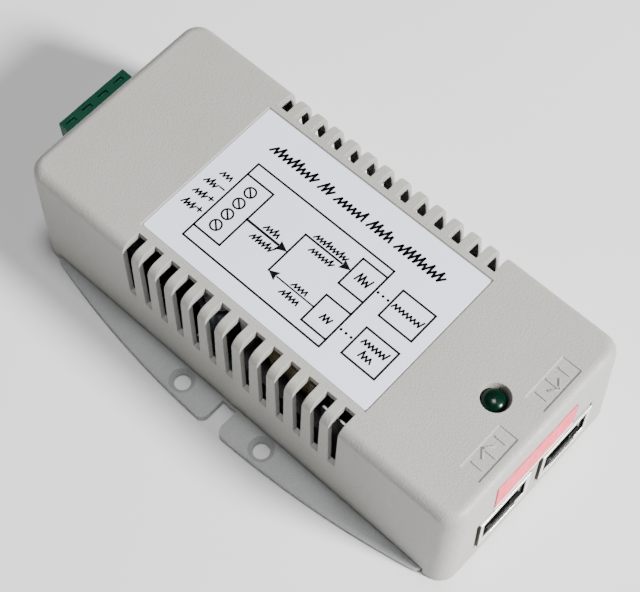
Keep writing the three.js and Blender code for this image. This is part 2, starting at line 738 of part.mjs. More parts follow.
const CAPACITORS = [
  ["input_capacitor_1", 6.0, 21, [-17.5, 40.6]],
  ["input_capacitor_2", 5.0, 20.5, [-17.6, 10.9]],
  ["output_capacitor_1", 5.0, 20.5, [18.2, 8.4]],
  ["output_capacitor_2", 5.0, 20.5, [18.2, -3.4]],
  ["output_capacitor_3", 5.0, 20.5, [18.2, -15.2]],
];
for (const [name, radius, height, place] of CAPACITORS) {
  add(name, capacitor(radius, height, place), blueSleeve);
}

// Wound rings: a soft-edged section turned about an upright axis.
function woundRing(outer, inner, height, place) {
  const round = 1.6;
  const low = SEAT_Z + 0.2;
  const high = low + height;
  const shape = roundedRectangle([inner, outer], [low, high], round);
  const section = shape.getPoints(1).map((point) => [point.x, point.y]);
  return turned([...section, section[0]], place, 20);
}

add("input_choke", woundRing(8.6, 2.6, 9, [-13.6, 24.6]), brownWire);
add("output_choke", woundRing(7.6, 2.4, 8, [4.4, -30.4]), brownWire);
add("film_capacitor", box([-18.3, -6.5], [2.0, 5.5], [SEAT_Z, 25.5]), whiteBox);

// A finned heat sink whose fins run along Y from an upright back.
const FIN_COUNT = 6;
const SINK_HALF = 7;

function heatsink(x, backY) {
  const back = 2;
  const length = 7.2;
  const finHalf = 0.5;
  const height = [SEAT_Z, 28.8];
  const [x0, x1] = about(x, SINK_HALF);
  const pieces = [box([x0, x1], [backY, backY + back], height)];
  for (let i = 0; i < FIN_COUNT; i++) {
    const finX = x0 + finHalf + ((x1 - x0 - 2 * finHalf) * i) / (FIN_COUNT - 1);
    pieces.push(box(about(finX, finHalf), [backY + 1, backY + back + length], height));
  }
  return join(...pieces);
}

// A three-legged power part, flat against the back of its heat sink.
function powerPart(x, backY) {
  const faceY = backY - GAP;
  const tab = box(about(x, 5), [faceY - 1.3, faceY], [11.5, 27]);
  const body = box(about(x, 5), [faceY - 4.4, faceY], [11.5, 20.5]);
  const legs = [x - 2.54, x, x + 2.54].map((legX) =>
    box(about(legX, 0.4), [faceY - 2.4, faceY - 1.8], [SEAT_Z, 12]),
  );
  return join(tab, body, ...legs);
}

const OUTPUT_SINK = [-16.4, -32.2]; // centre x, back y
const INPUT_SINK = [15.6, 18.4];
add("output_heatsink", heatsink(...OUTPUT_SINK), aluminium);
add("output_rectifier", powerPart(...OUTPUT_SINK), blackPlastic);
add("input_heatsink", heatsink(...INPUT_SINK), aluminium);
add("input_mosfet", powerPart(...INPUT_SINK), blackPlastic);

// Two-row chips: a body with its legs.
function chip([x0, x1], [y0, y1], legs) {
  const pieces = [box([x0, x1], [y0, y1], [SEAT_Z + 0.7, SEAT_Z + 4])];
  const pitch = 2.54;
  for (let i = 0; i < legs; i++) {
    const y = (y0 + y1) / 2 + (i - (legs - 1) / 2) * pitch;
    pieces.push(box([x0 - 0.7, x1 + 0.7], about(y, 0.4), [SEAT_Z + 1.6, SEAT_Z + 2]));
    pieces.push(box([x0 - 0.7, x0 - 0.35], about(y, 0.4), [SEAT_Z, SEAT_Z + 2]));
    pieces.push(box([x1 + 0.35, x1 + 0.7], about(y, 0.4), [SEAT_Z, SEAT_Z + 2]));
  }
  return join(...pieces);
}

add("control_chip", chip([-1.2, 5.2], [18.6, 38.2], 7), blackPlastic);
add("optocoupler", chip([4.2, 10.6], [-10.6, -5.8], 2), blackPlastic);
add("data_filter", chip([13.6, 22.4], [-44.4, -28.2], 6), blackPlastic);

// The fuse lies along Y, with a wider cap at each end.
const FUSE_PLACE = [15.6, 44];
const FUSE_CAP_RADIUS = 2.6;

function fuse() {
  const [x, y] = FUSE_PLACE;
  const z = SEAT_Z + FUSE_CAP_RADIUS + GAP;
  const pieces = [new THREE.CylinderGeometry(2.3, 2.3, 19, 16).translate(x, y, z)];
  for (const capY of [y - 7.5, y + 7.5]) {
    const cap = new THREE.CylinderGeometry(FUSE_CAP_RADIUS, FUSE_CAP_RADIUS, 5, 16);
    pieces.push(cap.translate(x, capY, z));
  }
  return join(...pieces);
}

add("input_fuse", fuse(), whiteBox);

export default group;
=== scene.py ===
"""A Power-over-Ethernet injector: its looks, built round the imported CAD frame.

Lengths in this script are millimetres until a mesh is made; the scene itself is in metres.
+Z is up out of the cover, +Y runs from the network jacks to the power terminal.
"""

import json
import math
import random

import bmesh
import bpy
from mathutils import Matrix, Vector


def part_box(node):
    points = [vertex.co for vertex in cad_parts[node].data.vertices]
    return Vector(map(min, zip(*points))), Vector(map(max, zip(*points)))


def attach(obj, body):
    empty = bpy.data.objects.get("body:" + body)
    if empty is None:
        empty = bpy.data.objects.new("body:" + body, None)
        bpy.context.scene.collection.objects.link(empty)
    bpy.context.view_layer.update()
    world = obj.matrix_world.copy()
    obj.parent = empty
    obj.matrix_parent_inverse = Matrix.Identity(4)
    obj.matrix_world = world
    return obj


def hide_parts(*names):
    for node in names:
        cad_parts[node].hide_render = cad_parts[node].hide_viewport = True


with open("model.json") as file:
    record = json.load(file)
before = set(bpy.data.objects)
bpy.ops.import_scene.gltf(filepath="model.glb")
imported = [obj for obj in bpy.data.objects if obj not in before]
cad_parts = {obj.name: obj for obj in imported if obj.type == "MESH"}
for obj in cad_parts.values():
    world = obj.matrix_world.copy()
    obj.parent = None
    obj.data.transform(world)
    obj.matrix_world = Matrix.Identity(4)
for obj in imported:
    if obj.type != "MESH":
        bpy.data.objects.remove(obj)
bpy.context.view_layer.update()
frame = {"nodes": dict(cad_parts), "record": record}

MM = 0.001
UP = Vector((0, 0, 1))

# ---- the camera, in the millimetres of the frame ----

SENSOR_WIDTH = 36
LENS = 87.6
CAMERA_AZIMUTH = math.radians(-44.85)
CAMERA_ELEVATION = math.radians(63.35)
CAMERA_ROLL = math.radians(-2.74)
CAMERA_DISTANCE = 358
CAMERA_TARGET = Vector((5.1, 4.25, 0))

# ---- what the frame says of each node ----

BODIES = frame["record"]["behaviour"]["bodies"]
BODY_OF = {node: body for body, nodes in BODIES.items() for node in nodes}


def corners(node):
    """The node's lowest and highest corners in millimetres."""
    low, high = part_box(node)
    return low / MM, high / MM


def middle_of(node):
    """The (x, y) middle of the node's box in millimetres."""
    low, high = corners(node)
    return ((low.x + high.x) / 2, (low.y + high.y) / 2)


# ---- making pieces ----

# edges that turn by more than the first are rounded, and faces within the second are one
SHARP_ANGLE = math.radians(30)
FLAT_ANGLE = math.radians(0.4)
THREAD_STEPS = 24
THREAD_ROWS = 6


def about(middle, half):
    """The (low, high) pair that reaches half to either side of a middle."""
    return (middle - half, middle + half)


def piece_from(name, solid):
    """A scene object from a bmesh in millimetres, which it uses up."""
    bmesh.ops.recalc_face_normals(solid, faces=solid.faces)
    bmesh.ops.scale(solid, vec=(MM, MM, MM), verts=solid.verts)
    mesh = bpy.data.meshes.new(name)
    solid.to_mesh(mesh)
    solid.free()
    piece = bpy.data.objects.new(name, mesh)
    bpy.context.scene.collection.objects.link(piece)
    return piece


def soften(piece, width, segments=2):
    """Rounds the piece's edges by width millimetres and shades it smooth between them."""
    if width:
        bevel = piece.modifiers.new("edges", "BEVEL")
        bevel.width = width * MM
        bevel.segments = segments
        bevel.limit_method = "ANGLE"
        bevel.angle_limit = SHARP_ANGLE
        bevel.use_clamp_overlap = False
    piece.data.shade_smooth()
    normals = piece.modifiers.new("normals", "WEIGHTED_NORMAL")
    normals.keep_sharp = False
    return piece


def install(piece, materials, node, stands_for_node=True):
    """Gives the piece its materials and the body of the node that it belongs to, and hides that node
    where the piece stands for it.

    A piece that only adds to the one that stands for the node has stands_for_node False.
    """
    for material in materials if isinstance(materials, (list, tuple)) else [materials]:
        piece.data.materials.append(material)
    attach(piece, BODY_OF[node])
    if stands_for_node:
        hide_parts(node)


def split(solid, point, normal):
    """Splits the faces that a plane crosses, and returns what the cut added."""
    geometry = [*solid.verts, *solid.edges, *solid.faces]
    cut = bmesh.ops.bisect_plane(solid, geom=geometry, dist=1e-4, plane_co=point, plane_no=normal)
    return cut["geom_cut"]


def clean_copy(node, planes=()):
    """A CAD solid in millimetres, its flat faces whole again but for the cuts of the planes.

    Each plane is a point and a normal.
    """
    solid = bmesh.new()
    solid.from_mesh(frame["nodes"][node].data)
    bmesh.ops.remove_doubles(solid, verts=solid.verts, dist=1e-6)
    bmesh.ops.scale(solid, vec=(1 / MM, 1 / MM, 1 / MM), verts=solid.verts)
    for point, normal in planes:
        for element in split(solid, point, normal):
            if isinstance(element, bmesh.types.BMEdge):
                element.seam = True
    bmesh.ops.dissolve_limit(solid, angle_limit=FLAT_ANGLE, verts=solid.verts, edges=solid.edges,
                             delimit={"SEAM"})
    return solid


def remade(node, name, width, segments=2, planes=()):
    """A piece in a CAD solid's exact shape, but for its edges, which are rounded."""
    return soften(piece_from(name, clean_copy(node, planes)), width, segments)


def paint_faces(piece, test):
    """Gives the second material to the faces whose centre (mm) and normal pass the test."""
    for polygon in piece.data.polygons:
        if test(polygon.center / MM, polygon.normal):
            polygon.material_index = 1


def add_box(solid, x, y, z):
    """Adds a box that spans the three (low, high) pairs."""
    centre = Vector(((x[0] + x[1]) / 2, (y[0] + y[1]) / 2, (z[0] + z[1]) / 2))
    size = Matrix.Diagonal((x[1] - x[0], y[1] - y[0], z[1] - z[0], 1))
    bmesh.ops.create_cube(solid, size=1, matrix=Matrix.Translation(centre) @ size)


def add_prism(solid, outline, z):
    """Adds an upright prism on a flat outline of (x, y) points."""
    low = [solid.verts.new((x, y, z[0])) for x, y in outline]
    high = [solid.verts.new((x, y, z[1])) for x, y in outline]
    solid.faces.new(low[::-1])
    solid.faces.new(high)
    count = len(outline)
    for i in range(count):
        j = (i + 1) % count
        solid.faces.new((low[i], low[j], high[j], high[i]))


def add_turned(solid, profile, centre, segments=48):
    """Adds a body turned about an upright axis from (radius, z) points."""
    columns = []
    for i in range(segments):
        angle = math.tau * i / segments
        column = []
        for radius, z in profile:
            if radius < 1e-6 and i > 0:
                column.append(columns[0][len(column)])
                continue
            x = centre[0] + radius * math.cos(angle)
            y = centre[1] + radius * math.sin(angle)
            column.append(solid.verts.new((x, y, z)))
        columns.append(column)
    for i in range(segments):
        here, there = columns[i], columns[(i + 1) % segments]
        for j in range(len(profile) - 1):
            face = [here[j], there[j], there[j + 1], here[j + 1]]
            corners_of_face = list(dict.fromkeys(face))
            if len(corners_of_face) > 2:
                solid.faces.new(corners_of_face)


def turned(name, profile, centre, segments=48):
    """A piece that is one turned body."""
    solid = bmesh.new()
    add_turned(solid, profile, centre, segments)
    return piece_from(name, solid)


def tube(name, paths, radius, roundness=2):
    """Round wire along each path of (x, y, z) points, as one piece."""
    curve = bpy.data.curves.new(name, "CURVE")
    curve.dimensions = "3D"
    curve.bevel_depth = radius * MM
    curve.bevel_resolution = roundness
    curve.use_fill_caps = True
    for path in paths:
        spline = curve.splines.new("POLY")
        spline.points.add(len(path) - 1)
        for point, place in zip(spline.points, path):
            point.co = (*(Vector(place) * MM), 1)
    source = bpy.data.objects.new(name, curve)
    bpy.context.scene.collection.objects.link(source)
    bpy.context.view_layer.update()
    evaluated = source.evaluated_get(bpy.context.evaluated_depsgraph_get())
    mesh = bpy.data.meshes.new_from_object(evaluated)
    bpy.data.objects.remove(source)
    piece = bpy.data.objects.new(name, mesh)
    bpy.context.scene.collection.objects.link(piece)
    mesh.shade_smooth()
    return piece


def add_thread(solid, centre, thread, z):
    """Adds a closed rod whose wall is a helical thread of (radius, depth, pitch)."""
    radius, depth, pitch = thread
    rows = int((z[1] - z[0]) / pitch * THREAD_ROWS)
    rings = []
    for row in range(rows + 1):
        height = z[0] + (z[1] - z[0]) * row / rows
        ring = []
        for step in range(THREAD_STEPS):
            turn = step / THREAD_STEPS
            phase = (height / pitch - turn) % 1
            reach = radius - depth * abs(2 * phase - 1)
            x = centre[0] + reach * math.cos(math.tau * turn)
            y = centre[1] + reach * math.sin(math.tau * turn)
            ring.append(solid.verts.new((x, y, height)))
        rings.append(ring)
    for lower, upper in zip(rings, rings[1:]):
        for i in range(THREAD_STEPS):
            j = (i + 1) % THREAD_STEPS
            solid.faces.new((lower[i], lower[j], upper[j], upper[i]))
    solid.faces.new(rings[0][::-1])
    solid.faces.new(rings[-1])


# ---- materials ----

# nearly all of a noise's values lie between these
NOISE_LOW, NOISE_HIGH = 0.3, 0.7


def colour(red, green, blue):
    """A linear colour from screen values of 0 to 255."""
    def linear(value):
        value /= 255
        return value / 12.92 if value <= 0.04045 else ((value + 0.055) / 1.055) ** 2.4

    return (linear(red), linear(green), linear(blue), 1)


class Surface:
    """A principled material whose colour, roughness and relief come from noise at real sizes."""

    def __init__(self, name, base, roughness, metallic=0.0, specular=0.5):
        self.material = bpy.data.materials.new(name)
        self.material.use_nodes = True
        self.nodes = self.material.node_tree.nodes
        self.links = self.material.node_tree.links
        self.shader = self.nodes["Principled BSDF"]
        self.shader.inputs["Metallic"].default_value = metallic
        self.shader.inputs["Specular IOR Level"].default_value = specular
        self.shader.inputs["Roughness"].default_value = roughness
        self.shader.inputs["Base Color"].default_value = base
        self.base = base
        self.place = self.nodes.new("ShaderNodeTexCoord").outputs["Object"]
        self.relief = None

    def noise(self, size, detail, stretch=(1, 1, 1)):
        """Noise whose features are about size millimetres across."""
        mapping = self.nodes.new("ShaderNodeMapping")
        mapping.inputs["Scale"].default_value = stretch
        self.links.new(self.place, mapping.inputs["Vector"])
        noise = self.nodes.new("ShaderNodeTexNoise")
        noise.inputs["Scale"].default_value = 1 / (size * MM)
        noise.inputs["Detail"].default_value = detail
        self.links.new(mapping.outputs["Vector"], noise.inputs["Vector"])
        return noise.outputs["Fac"]

    def waves(self, pitch, direction, distortion=0.0):
        """Straight ridges, pitch millimetres apart along a direction."""
        wave = self.nodes.new("ShaderNodeTexWave")
        wave.bands_direction = direction
        wave.inputs["Scale"].default_value = math.pi / (10 * pitch * MM)
        wave.inputs["Distortion"].default_value = distortion
        self.links.new(self.place, wave.inputs["Vector"])
        return wave.outputs["Fac"]

    def ranged(self, value, low, high, from_low=NOISE_LOW, from_high=NOISE_HIGH):
        """Maps a value from one range to another and holds it between the new ends."""
        spread = self.nodes.new("ShaderNodeMapRange")
        for socket, number in zip(("From Min", "From Max", "To Min", "To Max"),
                                  (from_low, from_high, low, high)):
            spread.inputs[socket].default_value = number
        self.links.new(value, spread.inputs["Value"])
        return spread.outputs["Result"]

    def mixed(self, blend):
        """A mix whose A is the colour so far, and whose result is the colour from here on."""
        mix = self.nodes.new("ShaderNodeMix")
        mix.data_type = "RGBA"
        mix.blend_type = blend
        socket = self.shader.inputs["Base Color"]
        if socket.links:
            self.links.new(socket.links[0].from_socket, mix.inputs["A"])
        else:
            mix.inputs["A"].default_value = self.base
        self.links.new(mix.outputs["Result"], socket)
        return mix

    def tint(self, value, low, high, from_low=NOISE_LOW, from_high=NOISE_HIGH):
        """Multiplies the colour so far by low where the value is low, up to high."""
        mix = self.mixed("MULTIPLY")
        mix.inputs["Factor"].default_value = 1
        self.links.new(self.ranged(value, low, high, from_low, from_high), mix.inputs["B"])

    def patches(self, value, other, from_low, from_high):
        """Turns the colour so far to another where the value is high."""
        mix = self.mixed("MIX")
        mix.inputs["B"].default_value = other
        self.links.new(self.ranged(value, 0, 1, from_low, from_high), mix.inputs["Factor"])

    def rough(self, value, low, high):
        """Makes the roughness run from low to high with a value."""
        self.links.new(self.ranged(value, low, high), self.shader.inputs["Roughness"])

    def bump(self, value, height):
        """Adds relief of the given height in millimetres."""
        bump = self.nodes.new("ShaderNodeBump")
        bump.inputs["Distance"].default_value = height * MM
        self.links.new(value, bump.inputs["Height"])
        if self.relief:
            self.links.new(self.relief, bump.inputs["Normal"])
        self.relief = bump.outputs["Normal"]
        self.links.new(self.relief, self.shader.inputs["Normal"])


def moulded(name, base, roughness, grain, height, blotch, speckle=0.03, specular=0.5):
    """Moulded plastic: a fine spark-eroded grain, faint flow blotches and uneven gloss."""
    made = Surface(name, base, roughness, specular=specular)
    fine = made.noise(grain, 2)
    made.tint(made.noise(14, 3), 1 - blotch, 1 + blotch)
    made.tint(fine, 1 - speckle, 1 + speckle)
    made.rough(made.noise(grain * 3, 3), roughness - 0.07, roughness + 0.07)
    made.bump(fine, height)
    return made.material


def metal(name, base, roughness, along, size=0.12, height=0.01):
    """Metal with drawing or rolling lines along the axis for which along is small."""
    made = Surface(name, base, roughness, 1.0)
    lines = made.noise(size, 4, along)
    made.tint(made.noise(3, 3), 0.88, 1.06)
    made.tint(lines, 0.92, 1.05)
    made.rough(lines, roughness - 0.08, roughness + 0.1)
    made.bump(lines, height)
    return made.material


def add_case_materials(made):
    """The case, its label and its sticker."""
    made["case"] = moulded("case_grey", colour(163, 162, 156), 0.48,
                           grain=0.45, height=0.09, blotch=0.03, speckle=0.06)
    made["plate"] = moulded("plate_grey", colour(172, 175, 174), 0.42,
                            grain=0.5, height=0.15, blotch=0.04, speckle=0.06)
    label = Surface("label_film", colour(230, 237, 254), 0.35)
    label.tint(label.noise(20, 2), 0.985, 1.01)
    label.rough(label.noise(2.5, 3), 0.3, 0.42)
    label.bump(label.noise(0.6, 2), 0.004)
    made["label"] = label.material
    ink = Surface("label_ink", colour(4, 4, 6), 0.6, specular=0.1)
    ink.tint(ink.noise(0.35, 2), 0.7, 1.5)
    ink.rough(ink.noise(0.8, 2), 0.38, 0.52)
    made["ink"] = ink.material
    paper = Surface("pink_paper", colour(238, 72, 96), 0.65)
    paper.tint(paper.noise(2.2, 3, (1, 1, 2)), 0.9, 1.12)
    paper.patches(paper.noise(0.9, 3, (0.5, 1, 1.5)), colour(250, 134, 152), 0.5, 0.68)
    paper.bump(paper.noise(0.25, 3), 0.012)
    made["paper"] = paper.material
    edge = Surface("pink_edge", colour(168, 48, 70), 0.65)
    edge.tint(edge.noise(1.2, 3), 0.9, 1.1)
    made["paper_edge"] = edge.material
    margin = Surface("paper_margin", colour(252, 244, 236), 0.6)
    margin.tint(margin.noise(1.2, 3), 0.96, 1.02)
    margin.bump(margin.noise(0.25, 3), 0.01)
    made["paper_margin"] = margin.material


def add_fitting_materials(made):
    """Jacks, lamp, terminal and screws."""
    made["tin"] = metal("tinned_sheet", colour(240, 239, 235), 0.3, (0.15, 1, 1))
    # the shields' outer side walls: tin darkened as painted shade and painted dark reflection
    made["tin_side"] = metal("tinned_painted_shade", colour(66, 60, 53), 0.42, (1, 0.15, 1))
    made["black"] = moulded("black_plastic", colour(5, 5, 6), 0.55,
                            grain=0.3, height=0.015, blotch=0.12, specular=0.14)
    made["gold"] = metal("gold_flash", colour(214, 172, 92), 0.25, (1, 0.1, 1), 0.08, 0.004)
    lens = Surface("led_epoxy", colour(0, 36, 24), 0.24, specular=0.12)
    lens.tint(lens.noise(1.4, 2), 0.8, 1.15)
    lens.rough(lens.noise(0.7, 3), 0.18, 0.3)
    lens.bump(lens.noise(0.9, 2), 0.03)
    lens.shader.inputs["Transmission Weight"].default_value = 0.35
    made["lens"] = lens.material
    made["terminal"] = moulded("terminal_green", colour(12, 88, 65), 0.45,
                               grain=0.35, height=0.03, blotch=0.1, specular=0.3)
    made["zinc"] = metal("zinc_plate", colour(186, 189, 190), 0.3, (1, 1, 0.3), 0.2, 0.008)
    made["screw"] = metal("black_passivate", colour(66, 66, 70), 0.34, (1, 1, 1), 0.2, 0.01)


def add_inner_materials(made):
    """The electronic parts and their board."""
    core = Surface("ferrite", colour(62, 62, 66), 0.55)
    core.tint(core.noise(0.5, 4), 0.6, 1.5)
    core.patches(core.noise(0.22, 2), colour(128, 128, 130), 0.62, 0.74)
    core.bump(core.noise(0.3, 3), 0.03)
    made["ferrite"] = core.material
    tape = Surface("winding_tape", colour(122, 112, 72), 0.3)
    ridges = tape.waves(0.85, "Z", 0.6)
    weave = tape.noise(0.5, 3, (1, 0.35, 1))
    tape.tint(ridges, 0.72, 1.1, 0, 1)
    tape.tint(weave, 0.75, 1.2)
    tape.rough(weave, 0.22, 0.4)
    tape.bump(ridges, 0.08)
    tape.bump(weave, 0.05)
    made["tape"] = tape.material
    wire = Surface("enamelled_copper", colour(104, 44, 28), 0.28, 0.6)
    wire.tint(wire.noise(1.2, 3), 0.75, 1.2)
    wire.rough(wire.noise(0.6, 2), 0.2, 0.36)
    made["wire"] = wire.material
    toroid = Surface("coated_core", colour(58, 62, 60), 0.5)
    toroid.tint(toroid.noise(0.8, 3), 0.75, 1.25)
    toroid.bump(toroid.noise(0.5, 3), 0.03)
    made["toroid"] = toroid.material
    sleeve = Surface("capacitor_sleeve", colour(58, 68, 84), 0.3)
    sleeve.tint(sleeve.noise(5, 2), 0.85, 1.12)
    sleeve.rough(sleeve.noise(1.5, 3), 0.22, 0.38)
    sleeve.bump(sleeve.noise(1.8, 2, (1, 1, 0.3)), 0.03)
    made["sleeve"] = sleeve.material
    stripe = Surface("sleeve_stripe", colour(150, 158, 168), 0.34)
    stripe.tint(stripe.waves(2.4, "Z"), 0.75, 1.05, 0.1, 0.4)
    stripe.rough(stripe.noise(1.5, 3), 0.26, 0.42)
    made["stripe"] = stripe.material
    made["aluminium"] = metal("raw_aluminium", colour(208, 209, 211), 0.3, (1, 0.08, 1), 0.2, 0.01)
    anodised = Surface("black_anodised", colour(30, 31, 34), 0.36, 0.5)
    lines = anodised.noise(0.25, 3, (1, 0.08, 1))
    anodised.tint(lines, 0.7, 1.3)
    anodised.rough(lines, 0.3, 0.46)
    anodised.bump(lines, 0.012)
    made["anodised"] = anodised.material
    made["white"] = moulded("white_plastic", colour(226, 225, 218), 0.36,
                            grain=0.5, height=0.02, blotch=0.03)
    board = Surface("board_mask", colour(18, 62, 44), 0.34)
    tracks = board.waves(2.1, "X", 2.5)
    board.tint(tracks, 0.75, 1.35, 0.42, 0.58)
    board.bump(board.ranged(tracks, 0, 1, 0.45, 0.55), 0.035)
    board.rough(board.noise(1.5, 3), 0.28, 0.42)
    made["board"] = board.material


MAT = {}
add_case_materials(MAT)
add_fitting_materials(MAT)
add_inner_materials(MAT)

# ---- case ----

EAR_HOLE_Y = 12.2
EAR_ROOT_X = 27.6
FLAG_Y = -55.6
JACK_MIDDLE_Z = 11.7


def make_case():
    """The cover and the plate, whose faces are split through their holes so that none has a hole."""
    along_x, along_y, along_z = (1, 0, 0), (0, 1, 0), (0, 0, 1)
    planes = [((0, 0, 0), along_x), ((0, 0, 0), along_y), ((0, FLAG_Y, 0), along_y),
              ((0, 0, JACK_MIDDLE_Z), along_z)]
    cover = remade("top_cover", "cover_shell", 0.13, planes=planes)
    install(cover, MAT["case"], "top_cover")
    planes = [((0, EAR_HOLE_Y, 0), along_y), ((0, -EAR_HOLE_Y, 0), along_y),
              ((EAR_ROOT_X, 0, 0), along_x), ((-EAR_ROOT_X, 0, 0), along_x)]
    plate = remade("base_plate", "base_with_ears", 0.18, 3, planes=planes)
    install(plate, MAT["plate"], "base_plate")


make_case()

# ---- the printed label ----

LABEL_TOP = corners("diagram_label")[1].z
INK_SINK = 0.005
INK_RISE = 0.012
INK = (LABEL_TOP - INK_SINK, LABEL_TOP + INK_RISE)
LINE = 0.48
THIN_LINE = 0.44
RING_SEGMENTS = 40
DOT_SEGMENTS = 16
ARROW_NOTCH = 0.35
SCRIBBLE = random.Random(11)
# how high a word's peaks reach, as parts of its height
PEAKS = (0.62, 0.66, 1)


def add_line(solid, start, end, width=LINE):
    """A straight printed line between two (x, y) points."""
    a, b = Vector(start), Vector(end)
    along = (b - a).normalized() * (width / 2)
    across = Vector((-along.y, along.x))
    a, b = a - along, b + along
    add_prism(solid, [a - across, b - across, b + across, a + across], INK)


def add_frame(solid, x, y):
    """A printed rectangle that spans two (low, high) pairs."""
    points = [(x[0], y[0]), (x[1], y[0]), (x[1], y[1]), (x[0], y[1])]
    for i in range(4):
        add_line(solid, points[i], points[(i + 1) % 4])


def add_ring(solid, centre, radius, width):
    """A printed circle."""
    inner, outer = about(radius, width / 2)
    profile = [(inner, INK[0]), (outer, INK[0]), (outer, INK[1]), (inner, INK[1]), (inner, INK[0])]
    add_turned(solid, profile, centre, RING_SEGMENTS)


def add_arrow(solid, start, tip, width, head):
    """A printed line with a filled head of (length, half width), notched behind."""
    a, b = Vector(start), Vector(tip)
    along = (b - a).normalized()
    across = Vector((-along.y, along.x))
    neck = b - along * head[0]
    add_line(solid, a, neck, width)
    back = neck + along * ARROW_NOTCH
    add_prism(solid, [neck - across * head[1], b, neck + across * head[1], back], INK)


def add_scribble(solid, x, start, end, height, stroke, slant=0.3):
    """An unreadable word: a zigzag that runs along -Y, its peaks towards +X and uneven.

    The stroke is its line's width and the distance from one turn to the next.
    """
    width, pitch = stroke
    count = max(2, round((start - end) / pitch))
    last = None
    for i in range(count + 1):
        reach = height * SCRIBBLE.choice(PEAKS) if i % 2 else 0
        here = (x + reach, start - (start - end) * i / count - slant * reach)
        if last:
            add_line(solid, last, here, width)
        last = here


# the diagram's boxes, as (low, high) pairs: the case, its terminal, its ports and what they feed
CASE_X, CASE_Y = (-15.4, 7.7), (-15.3, 23.6)
TERMINAL_X, TERMINAL_Y = (-12.2, 4.3), (16.0, 23.6)
PORT_HALF = 3.83
OUT_X, IN_X = 1.8, -9.5
PORT_Y = (-15.3, -8.5)
OUTER_Y = (-28.45, -19.6)
# the terminal's four poles, each a ring with a slash
POLE_MIDDLE = (-3.95, 19.95)
POLE_PITCH = 3.5
POLE_RADIUS = 1.28
POLE_SLASH = (0.78, 0.86)
# the bracket that joins the ports' lines, and the dots from each port outwards
BRACKET_Y = 4.3
DOT_RADIUS = 0.34
DOT_PITCH = 1.37
FIRST_DOT_Y = -16.05
# arrows from the terminal, to the output port and from the input port, each as the line's width
# and the head's (length, half width)
SUPPLY_ARROW = (0.6, (2.7, 1.25))
OUT_ARROW = (0.5, (2.6, 1.25))
IN_ARROW = (0.38, (2.4, 1.2))
# the signs beside the lower three poles: minus, plus, plus
SIGN_X = (-1.95, -5.35, -8.85)
SIGN_Y = 25.15
SIGN_HALF = 0.55
SIGN_LINE = 0.4
# where the words stand: the title's (start, end) along Y, the others' (x, start, end, height)
TITLE_X = 12.0
TITLE_HEIGHT = 2.2
TITLE_STROKE = (0.56, 0.64)
SMALL_STROKE = (0.4, 0.46)
UPRIGHT_STROKE = (0.42, 0.5)
TITLE_WORDS = ((24.2, 11.8), (10.2, 7.1), (5.6, -2.2), (-3.7, -9.9), (-11.5, -23.9))
SMALL_WORDS = (
    (0.4, 28.1, 25.2, 1.6), (-3.0, 29.6, 26.5, 1.6), (-6.4, 29.6, 26.5, 1.6), (-9.9, 29.6, 26.5, 1.6),
    (-3.0, 12.0, 8.2, 1.6), (-6.4, 12.8, 7.0, 1.6), (2.5, 2.6, -6.0, 1.5), (-0.5, 1.3, -4.7, 1.5),
    (-8.9, -1.6, -5.4, 1.4), (-11.8, -0.8, -5.5, 1.5),
)
UPRIGHT_WORDS = (
    (0.9, -10.3, -13.8, 2.0), (-10.5, -11.0, -13.4, 2.0), (1.3, -20.2, -27.8, 1.5),
    (-8.85, -21.0, -27.3, 1.6), (-11.5, -22.5, -25.5, 1.6),
)


def add_diagram(print_):
    """The case and terminal, the ports and what they feed, and the arrows between them."""
    add_frame(print_, CASE_X, CASE_Y)
    add_frame(print_, TERMINAL_X, TERMINAL_Y)
    for i in range(4):
        x, y = (i - 1.5) * POLE_PITCH + POLE_MIDDLE[0], POLE_MIDDLE[1]
        add_ring(print_, (x, y), POLE_RADIUS, THIN_LINE)
        start, end = ((x + sign * POLE_SLASH[0], y + sign * POLE_SLASH[1]) for sign in (1, -1))
        add_line(print_, start, end, THIN_LINE)
    middle = (OUT_X + IN_X) / 2
    add_arrow(print_, (middle, TERMINAL_Y[0]), (middle, BRACKET_Y), *SUPPLY_ARROW)
    add_line(print_, (OUT_X, BRACKET_Y), (IN_X, BRACKET_Y))
    add_arrow(print_, (OUT_X, BRACKET_Y), (OUT_X, PORT_Y[1]), *OUT_ARROW)
    add_arrow(print_, (IN_X, PORT_Y[1]), (IN_X, BRACKET_Y), *IN_ARROW)
    dot = [(0, INK[0]), (DOT_RADIUS, INK[0]), (DOT_RADIUS, INK[1]), (0, INK[1])]
    for x in (OUT_X, IN_X):
        add_frame(print_, about(x, PORT_HALF), PORT_Y)
        add_frame(print_, about(x, PORT_HALF), OUTER_Y)
        for i in range(3):
            add_turned(print_, dot, (x, FIRST_DOT_Y - DOT_PITCH * i), DOT_SEGMENTS)


def add_wording(print_):
    """The zigzags that stand for the words, and the signs beside the poles."""
    for start, end in TITLE_WORDS:
        add_scribble(print_, TITLE_X, start, end, TITLE_HEIGHT, TITLE_STROKE)
    for x, start, end, height in SMALL_WORDS:
        add_scribble(print_, x, start, end, height, SMALL_STROKE)
    for x, start, end, height in UPRIGHT_WORDS:
        add_scribble(print_, x, start, end, height, UPRIGHT_STROKE, 0)
    for i, x in enumerate(SIGN_X):
        add_line(print_, (x, SIGN_Y + SIGN_HALF), (x, SIGN_Y - SIGN_HALF), SIGN_LINE)
        if i:
            add_line(print_, (x - SIGN_HALF, SIGN_Y), (x + SIGN_HALF, SIGN_Y), SIGN_LINE)


def make_label():
    """The film, and all of its print as one raised layer."""
    install(remade("diagram_label", "label_sheet", 0.08), MAT["label"], "diagram_label")
    print_ = bmesh.new()
    add_diagram(print_)
    add_wording(print_)
    install(piece_from("label_print", print_), MAT["ink"], "diagram_label", False)


make_label()

# ---- raised arrows between bars in the two recessed flags ----

